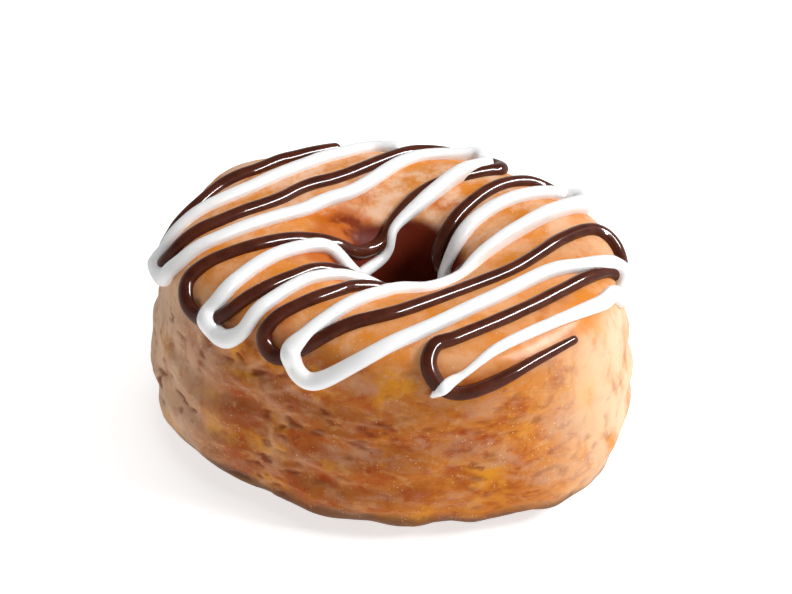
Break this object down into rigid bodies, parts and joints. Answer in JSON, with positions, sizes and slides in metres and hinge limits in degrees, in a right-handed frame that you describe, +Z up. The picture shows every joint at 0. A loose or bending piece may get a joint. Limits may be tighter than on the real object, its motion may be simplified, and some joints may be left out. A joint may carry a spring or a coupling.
{
  "type": "croissant doughnut",
  "caption": "Tall glazed ring doughnut of flaky laminated dough, with a narrow hole and zigzag threads of dark chocolate and white icing over its top.",
  "frame": {"origin": "middle of the footprint, on the surface that the doughnut rests on", "axes": "+Z up through the hole, +X to the right and +Y away from the viewer of the picture"},
  "size_m": [0.0956, 0.087, 0.0469],
  "materials": {
    "dough": "browned, glazed laminated dough, semi-gloss",
    "chocolate": "set dark chocolate, glossy",
    "icing": "set white icing, satin"
  },
  "bodies": {
    "root": {"croissant_doughnut": "dough"}
  },
  "joints": []
}
